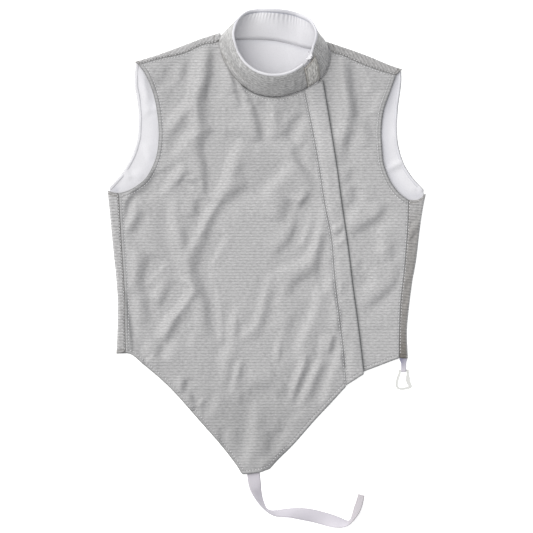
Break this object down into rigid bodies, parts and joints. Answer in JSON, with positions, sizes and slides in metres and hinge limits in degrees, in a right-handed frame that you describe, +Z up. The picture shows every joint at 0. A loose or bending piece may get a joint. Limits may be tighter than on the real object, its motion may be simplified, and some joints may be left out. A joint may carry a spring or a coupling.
{
  "type": "fencing lame",
  "caption": "Sleeveless vest of silver conductive cloth for foil fencing, lying flat front up, with a stand collar, a covered slanting front zip, a groin strap and a cord hook.",
  "frame": {"origin": "on the ground under the middle of the back, at the rest mount", "axes": "+Y up the length of the vest towards the collar, +X across it towards the wearer's left, +Z up off the ground through the back to the fronts"},
  "size_m": [0.498, 0.8138, 0.0496],
  "materials": {
    "silver_lame": "ribbed cloth woven with steel thread, soft grey with small bright points",
    "silver_lame_collar": "the same cloth across its ribs, so a darker grey",
    "white_lining": "smooth matt cotton",
    "white_elastic": "finely ribbed flat elastic",
    "zip_tape": "woven tape with moulded teeth",
    "white_plastic": "moulded, slightly glossy"
  },
  "bodies": {
    "vest": {"back_panel": "silver_lame", "back_lining": "white_lining", "facing_left": "white_lining", "facing_right": "white_lining", "front_right": "silver_lame", "front_left": "silver_lame", "placket": "silver_lame", "zip": "zip_tape", "collar_outer": "silver_lame_collar", "collar_lining": "white_lining", "collar_tab": "silver_lame_collar", "groin_strap": "white_elastic", "side_loop": "white_elastic"},
    "hook": {"side_hook": "white_plastic"}
  },
  "joints": [
    {"name": "hook_turn", "type": "hinge", "parent": "vest", "child": "hook", "pos_m": [0.2149, -0.1626, 0.00265], "axis": [-1, 0, 0], "range_deg": [0, 150]}
  ]
}
